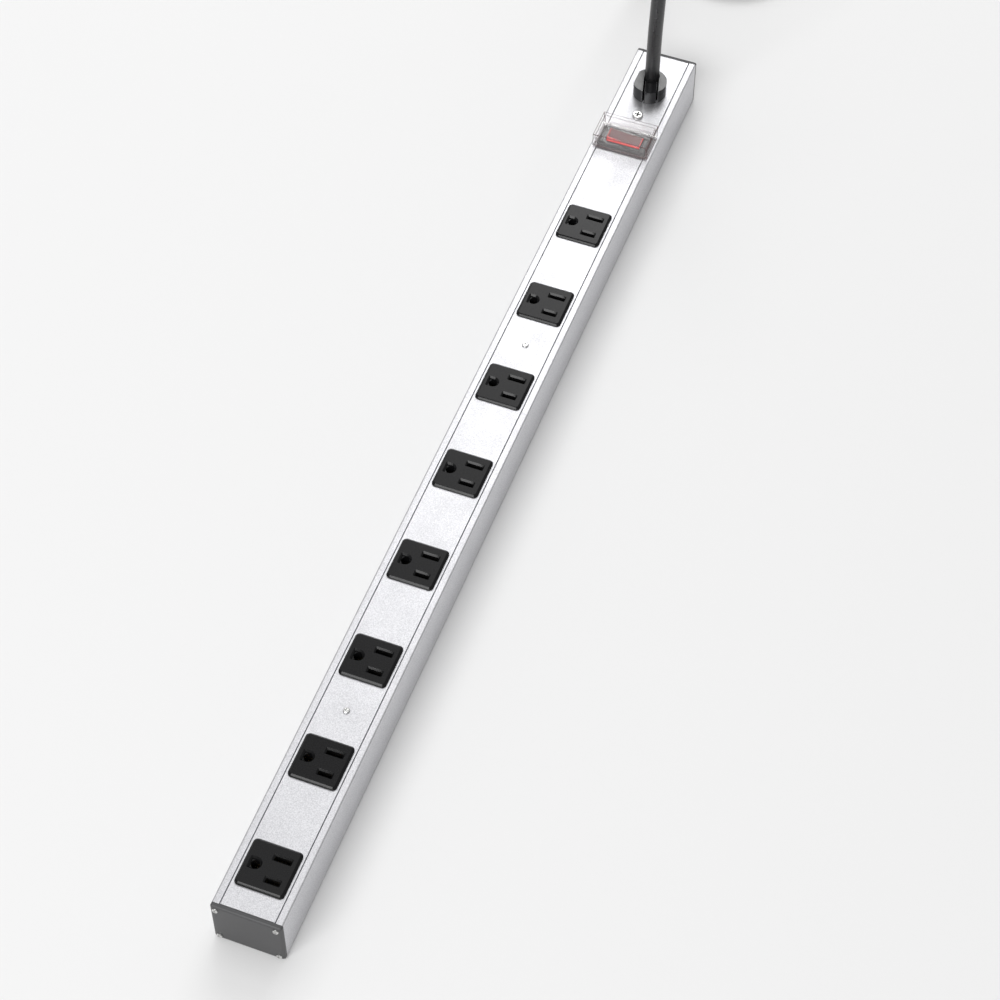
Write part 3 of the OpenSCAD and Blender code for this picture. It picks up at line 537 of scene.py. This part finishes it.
def face_loop(g):
    """The face's outline, drawn in by g."""
    return rounded(FACE[0] - 2 * g, FACE[1] - 2 * g, FACE_R - g)


block = rounded(*BODY, .3)
pad = [(block, FLOOR_Z), (block, 0), (face_loop(.12), 0), (face_loop(0), .1), (face_loop(0), .55),
       (face_loop(.1), .68), (face_loop(1.15), 1.48), (face_loop(1.35), PROUD)]
openings = []
for y, length in zip((-SLOT_Y, SLOT_Y), SLOT_L):
    cavity = rounded(9.4, 4.4, .3, (SLOT_X, y), 2)
    slot = rounded(length, SLOT_W, .25, (SLOT_X, y), 2)
    lead_in = rounded(length + 1.7, SLOT_W + 1.8, .6, (SLOT_X, y), 2)
    openings.append([(cavity, FLOOR_Z), (cavity, CAVITY_Z), (slot, CAVITY_Z), (slot, LEAD_Z),
                     (lead_in, PROUD)])


def ground_loop(d, round_r, flat_r):
    """A D as wide as d: round towards the far right and near right, and square on its left."""
    return rounded(d, d, (round_r, flat_r, flat_r, round_r), (GROUND_X, 0))


cavity = rounded(6.4, 6.6, .3, (GROUND_X, 0))
bore = rounded(BORE_D, BORE_D, BORE_D / 2 - .001, (GROUND_X, 0))
mouth = ground_loop(GROUND_D, GROUND_D / 2 - .001, .3)
lead_in = ground_loop(GROUND_D + 1.8, GROUND_D / 2 + .89, .9)
openings.append([(cavity, FLOOR_Z), (cavity, CAVITY_Z), (bore, CAVITY_Z), (bore, 0), (mouth, 0),
                 (mouth, LEAD_Z), (lead_in, PROUD)])
add_solid(bm, pad, openings, place=at_first)
row_step = {"Row Step": (0, PITCH * MM, 0)}
bm = grown(bm, repeats, Columns=1, Rows=OUTLETS, **row_step, Material=outlet_plastic)
piece("outlet_faces", bm, [outlet_plastic], "strip",
      [f"outlet_{k}_front" for k in range(1, OUTLETS + 1)], 18)


# ---- Front panel ----
# A flat aluminium strip, finished like the channel, that lies on the channel's ledges with a hair
# of a seam along each side, and is cut out for the outlets, the switch and the strain relief.
SEAM, FIT = .1, .3
PANEL_W = STRIP_W - 2 * CORNER - 2 * SEAM
SWITCH_Y, SWITCH_CORE = 237.8, (27, 12.4)
GLAND_Y, GROUND_SCREW_Y = 284, 262
PANEL_SCREWS = [FIRST_OUTLET + (k + .5) * PITCH for k in (1, 5)]
bm = bmesh.new()
edge = [(s * PANEL_W / 2, t * CHAMBER_L / 2) for s, t in CORNERS]
cuts = [rounded(BODY[0] + FIT, BODY[1] + FIT, .3, (0, FIRST_OUTLET + k * PITCH), 1)
        for k in range(OUTLETS)]
cuts.append(rounded(SWITCH_CORE[0] + FIT, SWITCH_CORE[1] + FIT, .3, (0, SWITCH_Y), 1))
# round holes for the strain relief, the ground screw and the panel screws
for y, r in [(GLAND_Y, 7.95), (GROUND_SCREW_Y, 2.05)] + [(y, 1.35) for y in PANEL_SCREWS]:
    cuts.append([(u, y + v) for u, v in circle(r, 32)])
add_solid(bm, [(edge, PANEL_Z), (edge, STRIP_H - .5), (offset(edge, -.3), STRIP_H)],
          [[(cut, PANEL_Z), (cut, STRIP_H)] for cut in cuts])
piece("panel_strip", bm, [aluminium], "strip", ["front_panel"])


# ---- Panel screws and clamp bars ----
# Two small pan-head screws, bright zinc plated, go through the panel into steel bars that they
# pull up under the channel's ledges.
steel, p = shader("zinc_steel", Metallic=1.0)
spread(steel, noise(steel, 400), (.66, .66, .65), (.8, .8, .79), p.inputs["Base Color"])
spread(steel, noise(steel, 900), .2, .32, p.inputs["Roughness"])
bump(steel, p, noise(steel, 2500), .1, .00003)
dress(steel, "panel_clamp_bars")


def add_screw(bm, head_r, head_h, shank_r, length, place):
    """A pan-head screw with a cross recess, its head on z = 0."""
    head = ((shank_r, -length), (shank_r, 0), (head_r - .1, 0), (head_r, .1), (head_r, head_h * .45),
            (head_r * .93, head_h * .8), (head_r * .78, head_h))
    a, b = head_r * .6, head_r * .15
    cross = [(a, -b), (a, b), (b, b), (b, a), (-b, a), (-b, b),
             (-a, b), (-a, -b), (-b, -b), (-b, -a), (b, -a), (b, -b)]
    taper = [(x * .8, y * .8) for x, y in cross]
    add_solid(bm, [(circle(r, 40), z) for r, z in head],
              pockets=[[(cross, head_h), (taper, head_h * .25)]], place=place)


def on_panel(y):
    """The place on the panel's face at y, in millimetres along the strip."""
    return Matrix.Translation(Vector((0, y, STRIP_H)) * MM)


bm = bmesh.new()
add_screw(bm, 1.85, .9, 1.2, PANEL_T + 5.6, on_panel(PANEL_SCREWS[0]))
step = (0, (PANEL_SCREWS[1] - PANEL_SCREWS[0]) * MM, 0)
bm = grown(bm, repeats, Columns=1, Rows=2, **{"Row Step": step}, Material=steel)
piece("panel_pan_screws", bm, [steel], "strip", ["panel_screws"], 25)


# ---- End caps and their screws ----
# A dark moulded cap closes each end: a plate with a sloped rim and a hollow spigot that fits inside
# the channel, held by four small pan-head screws in the channel's corners.
cap_plastic, p = shader("cap_plastic", IOR=1.5)
grain = noise(cap_plastic, 2400, detail=2)
spread(cap_plastic, grain, (.05, .05, .052), (.075, .075, .077), p.inputs["Base Color"])
spread(cap_plastic, grain, .42, .55, p.inputs["Roughness"])
bump(cap_plastic, p, grain, .3, .00008)
CAP_T, CAP_HOLE_R, SPIGOT_L, SPIGOT_WALL, OVERLAP = 2.6, 1.15, 3, 1.6, .02
END_Y = CHAMBER_L / 2 + CAP_T
near_end = Matrix(((-1, 0, 0, 0), (0, 0, 1, -END_Y * MM), (0, 1, 0, 0), (0, 0, 0, 1)))
far_end = Matrix(((1, 0, 0, 0), (0, 0, -1, END_Y * MM), (0, 1, 0, 0), (0, 0, 0, 1)))
turned = Matrix.Rotation(math.pi, 4, "X")
middle = (0, STRIP_H / 2)
spigot = (STRIP_W - 2 * (CORNER + LEDGE + .2), PANEL_Z - WALL - .4)
spigot_at = (0, (PANEL_Z + WALL) / 2)
# how far the plate's edge is drawn in, and at what depth from its face
rim = ((.9, 0), (.75, .08), (.06, .8), (0, .95), (0, CAP_T))
plate = [(rounded(STRIP_W - 2 * g, STRIP_H - 2 * g, EDGE_R, middle), z) for g, z in rim]
spigot_out = rounded(*spigot, .3, spigot_at)
spigot_in = rounded(spigot[0] - 2 * SPIGOT_WALL, spigot[1] - 2 * SPIGOT_WALL, .3, spigot_at)
spigot_zs = (CAP_T - OVERLAP, CAP_T + SPIGOT_L)
for name, place in (("near", near_end), ("far", far_end)):
    bm = bmesh.new()
    holes = [[(x + cx, y + cz) for x, y in circle(CAP_HOLE_R, 20)] for cx, cz in screw_places]
    add_solid(bm, plate, [[(hole, 0), (hole, CAP_T)] for hole in holes], place=place)
    add_solid(bm, [(spigot_out, z) for z in spigot_zs], [[(spigot_in, z) for z in spigot_zs]], place=place)
    piece("moulded_cap_" + name, bm, [cap_plastic], "strip", ["end_cap_" + name])
    bm = bmesh.new()
    first = place @ Matrix.Translation(Vector((side - SCREW_IN, SCREW_IN, 0)) * MM) @ turned
    add_screw(bm, 1.55, .9, 1, 9.9, first)
    steps = {"Column Step": (place.to_3x3() @ Vector((-2 * (side - SCREW_IN) * MM, 0, 0))),
             "Row Step": (0, 0, (STRIP_H - 2 * SCREW_IN) * MM)}
    bm = grown(bm, repeats, Columns=2, Rows=2, **steps, Material=steel)
    piece("cap_pan_screws_" + name, bm, [steel], "strip", ["cap_screws_" + name], 25)


# ---- Switch ----
# A lighted rocker switch, pushed into the panel: a glossy black bezel and body with a window, brass
# blades, a seesaw contact and a small lamp inside, and wires that end on the blades.
gloss_black, p = shader("gloss_black", IOR=1.5)
spread(gloss_black, noise(gloss_black, 800), (.008, .008, .009), (.013, .013, .014), p.inputs["Base Color"])
spread(gloss_black, noise(gloss_black, 300), .1, .16, p.inputs["Roughness"])
SWITCH_FOOT, FLOOR_TOP = 9, 11
BEZEL_Z, BEZEL_TOP = STRIP_H + 1, STRIP_H + 2.8
BEZEL, WINDOW = (30.4, 15.4), (21.6, 8.8)
switch_at = (0, SWITCH_Y)
core = rounded(*SWITCH_CORE, .3, switch_at)
shell = [(core, SWITCH_FOOT), (core, BEZEL_Z)]
shell += [(rounded(BEZEL[0] - 2 * g, BEZEL[1] - 2 * g, 1 - g, switch_at), z) for g, z in (
    (.1, BEZEL_Z), (0, BEZEL_Z + .1), (0, BEZEL_TOP - .45), (.1, BEZEL_TOP - .2), (.4, BEZEL_TOP))]
window = [(rounded(WINDOW[0] + 2 * g, WINDOW[1] + 2 * g, .3 + g, switch_at), z) for g, z in (
    (0, SWITCH_FOOT), (0, BEZEL_TOP - .3), (.25, BEZEL_TOP))]
bm = bmesh.new()
add_solid(bm, shell, [window])
# the floor of the body, with a slot for each blade
base = rounded(WINDOW[0] + .1, WINDOW[1] + .1, .3, switch_at)
base_zs = (SWITCH_FOOT + OVERLAP, FLOOR_TOP)
blade_slots = [rounded(1.2, 5.2, .1, (x, SWITCH_Y), 1) for x in (-8.6, 0, 6.5)]
add_solid(bm, [(base, z) for z in base_zs], [[(slot, z) for z in base_zs] for slot in blade_slots])
piece("switch_bezel_and_body", bm, [gloss_black], "strip", ["switch_body"])
dress(brass, "switch_lever", "switch_terminals")
lamp, p = shader("lamp_glass", Transmission_Weight=.8, IOR=1.45, Alpha=.6,
                 Emission_Color=(1, .25, .05, 1), Emission_Strength=1.5)
spread(lamp, noise(lamp, 200), (1, .55, .3), (1, .65, .4), p.inputs["Base Color"])
spread(lamp, noise(lamp, 500), .05, .15, p.inputs["Roughness"])
dress(lamp, "switch_lamp")


# ---- Rocker ----
# A translucent red moulding with a shallow V on top, lit from below at its edges. It rocks on two
# trunnions in the body, and its stem tips the seesaw contact.
lens_top, p = shader("red_lens_top", IOR=1.5)
stipple = noise(lens_top, 2600, detail=2)
spread(lens_top, stipple, (.075, .006, .006), (.16, .012, .012), p.inputs["Base Color"])
spread(lens_top, stipple, .3, .45, p.inputs["Roughness"])
bump(lens_top, p, stipple, .35, .0001)
# painted light: the top's darker red and the sides' bright, faintly glowing red are unlit and lit copies of
# one red moulding. They stand in for the lamp's light coming through it from beneath.
lens_edge, p = shader("red_lens_edge", IOR=1.5, Roughness=.15,
                      Emission_Color=(1, .03, .03, 1), Emission_Strength=.35)
spread(lens_edge, noise(lens_edge, 250), (.62, .012, .012), (.78, .03, .03), p.inputs["Base Color"])
# the V's slope on each side is also the rocker's tilt at rest
half, tilt, skirt, pivot_z = 10.4, math.radians(3.5), 2.2, STRIP_H + .4
lens_y, lens_edge_y, lens_bevel = 3.65, 4.1, .45
dip = STRIP_H + 4.2 - pivot_z
tip = dip + half * math.tan(tilt)
rocker_place = (Matrix.Translation(Vector((0, SWITCH_Y, pivot_z)) * MM)
                @ Matrix.Rotation(tilt, 4, "Y") @ Matrix.Rotation(math.pi / 2, 4, "X"))
profile = [(-half, -skirt), (half, -skirt), (half, tip - .4), (half - .4, tip - .02), (0, dip),
           (.4 - half, tip - .02), (-half, tip - .4)]
bm = bmesh.new()
bevelled = offset(profile, -lens_bevel)
add_solid(bm, [(bevelled, -lens_edge_y), (profile, -lens_y), (profile, lens_y), (bevelled, lens_edge_y)],
          place=rocker_place)
bm.normal_update()
# the top is the first material, the lit sides the second, and the dark ends the third
for face in bm.faces:
    n = rocker_place.to_3x3().inverted() @ face.normal
    face.material_index = 0 if n.y > .95 else 2 if abs(n.x) > .9 else 1
trunnion = circle(.95, 24)
add_solid(bm, [(trunnion, -5.2), (trunnion, 5.2)], place=rocker_place, material=2)
stem_r, stem_foot, stem_top = 1.2, -8, -2
stem = arc(0, stem_foot, stem_r, 180, 6) + arc(0, stem_foot, stem_r, 270, 6)[1:]
stem += [(stem_r, stem_top), (-stem_r, stem_top)]
add_solid(bm, [(stem, -2), (stem, 2)], place=rocker_place, material=2)
piece("rocker_lens", bm, [lens_top, lens_edge, gloss_black], "rocker", ["switch_rocker"], 25)


# ---- Guard ----
# A clear polished cover over the switch. Its frame lies round the switch's body under the bezel,
# and its lid turns on a steel pin along its far edge.
clear, p = shader("clear_plastic", IOR=1.49, Alpha=.09)
spread(clear, noise(clear, 40), (.74, .70, .70), (.80, .76, .76), p.inputs["Base Color"])
spread(clear, noise(clear, 120), .02, .05, p.inputs["Roughness"])
# painted shade and painted reflection: the faces made by rounding the guard's edges get a dark pinkish,
# nearly opaque colour. It stands in for the clear walls darkening at their edges and for the red rocker
# mirrored in them.
clear_edge_painted_shade, p = shader("clear_plastic_edge_painted_shade", IOR=1.49, Alpha=.9)
spread(clear_edge_painted_shade, noise(clear_edge_painted_shade, 60), (.05, .035, .035), (.16, .07, .07), p.inputs["Base Color"])
spread(clear_edge_painted_shade, noise(clear_edge_painted_shade, 120), .05, .12, p.inputs["Roughness"])


def rounded_node(name, node_name, width, materials, body, shortest=0):
    """A piece with a node's own shape and softly rounded edges, which take the last material.

    Edges up to shortest millimetres long stay as they are."""
    bm = bmesh.new()
    bm.from_mesh(nodes[node_name].data)
    bmesh.ops.remove_doubles(bm, verts=bm.verts, dist=2e-6)
    bmesh.ops.dissolve_limit(bm, angle_limit=math.radians(1), verts=bm.verts, edges=bm.edges)
    edges = [e for e in bm.edges if e.is_manifold and e.calc_face_angle() > math.radians(40)
             and e.calc_length() > shortest * MM]
    made = bmesh.ops.bevel(bm, geom=edges, offset=width * MM, segments=2, affect="EDGES",
                           clamp_overlap=not shortest)
    for face in made["faces"]:
        face.material_index = len(materials) - 1
    return piece(name, bm, materials, body, [node_name], 30)


# the rounded edges of both guard pieces take the painted edge shade
rounded_node("guard_base", "guard_frame", .15, [clear, clear_edge_painted_shade], "strip")
dress(steel, "guard_hinge_pin")
rounded_node("guard_cover", "guard_lid", .32, [clear, clear_edge_painted_shade], "guard", shortest=4)


# ---- Strain relief ----
# Two glossy black mouldings clamp the cord in the panel: a round head with one flat side and a
# slot that is turned a little about the cord, and a wedge in the slot that presses on the cord.
rounded_node("relief_head", "strain_relief_body", .3, [gloss_black], "strip")
rounded_node("relief_wedge", "strain_relief_wedge", .25, [gloss_black], "strip")


# ---- Ground screw ----
# A larger zinc-plated pan-head screw between the guard and the strain relief, with a nut and two
# ring terminals under the panel.
bm = bmesh.new()
add_screw(bm, 3.35, 1.5, 1.9, PANEL_T + 6, on_panel(GROUND_SCREW_Y))
# a dark steel that paints shade into the cross recess
recess, p = shader("steel_recess_painted_shade", Metallic=1.0)
spread(recess, noise(recess, 700), (.06, .06, .06), (.14, .14, .14), p.inputs["Base Color"])
spread(recess, noise(recess, 900), .4, .5, p.inputs["Roughness"])
# painted shade: the faces inside the cross, which see little light, are painted darker
for face in bm.faces:
    at = face.calc_center_median() / MM - Vector((0, GROUND_SCREW_Y, STRIP_H))
    if .3 < at.z < 1.4 and math.hypot(at.x, at.y) < 2.2:
        face.material_index = 1
piece("ground_pan_screw", bm, [steel, recess], "strip", ["ground_screw"], 25)
dress(steel, "ground_nut")
dress(brass, "ground_ring_terminals")


# ---- Wires ----
# Stranded copper wires in black, white and green insulation join the cord, the switch, the ground
# screw and the bus bars.
for slot_name, dark, light, names in (
        ("black_insulation", (.012, .012, .013), (.02, .02, .021),
         ("line_supply_wire", "switched_line_wire")),
        ("white_insulation", (.72, .72, .70), (.8, .8, .78), ("neutral_wire",)),
        ("green_insulation", (.02, .20, .05), (.03, .26, .07), ("ground_wires",))):
    insulation, p = shader(slot_name, IOR=1.5)
    spread(insulation, noise(insulation, 500), dark, light, p.inputs["Base Color"])
    spread(insulation, noise(insulation, 900), .35, .45, p.inputs["Roughness"])
    dress(insulation, *names)


# ---- Floor and lights ----
# A plain pale floor, soft cards of light above the strip and past its far end that the aluminium
# mirrors, and one in front that lights the edges that face the near end.
floor_mesh = bpy.data.meshes.new("floor")
# it lies just under the piece, so that the two never share a face
floor_edge = ((-6, -5), (6, -5), (6, 9), (-6, 9))
floor_mesh.from_pydata([(x, y, -.0005) for x, y in floor_edge], [], [(0, 1, 2, 3)])
pale, p = shader("pale_floor", Base_Color=(.82, .82, .82, 1), Roughness=.8)
floor_mesh.materials.append(pale)
floor = bpy.data.objects.new("floor", floor_mesh)
scene.collection.objects.link(floor)

world = bpy.data.worlds.new("studio")
world.use_nodes = True
world.node_tree.nodes["Background"].inputs["Color"].default_value = (1, 1, 1, 1)
world.node_tree.nodes["Background"].inputs["Strength"].default_value = .4
scene.world = world


def add_card(name, width, depth, radiance, place, tilt=0):
    """A rectangle of light that faces down or is tilted about X, by its radiance, whatever its size."""
    light = bpy.data.lights.new(name, "AREA")
    light.shape = "RECTANGLE"
    light.size, light.size_y = width, depth
    light.energy = radiance * math.pi * width * depth
    card = bpy.data.objects.new(name, light)
    card.location = place
    card.rotation_euler = (math.radians(tilt), 0, 0)
    scene.collection.objects.link(card)


# the cards overhead: where along the strip each starts and ends, and how bright it is
for name, near, far, radiance in (("card_near", -.3, .98, .95), ("card_mid", 1.28, 1.8, 1.0),
                                  ("card_far", 1.8, 2.4, 2.2), ("card_end", 2.4, 3.6, 5.5)):
    add_card(name, 2.4, far - near, radiance, (-.71, (near + far) / 2, 2.5))
add_card("card_front", 3.0, 1.6, 8.0, (-.5, -3.2, 3.0), 46)
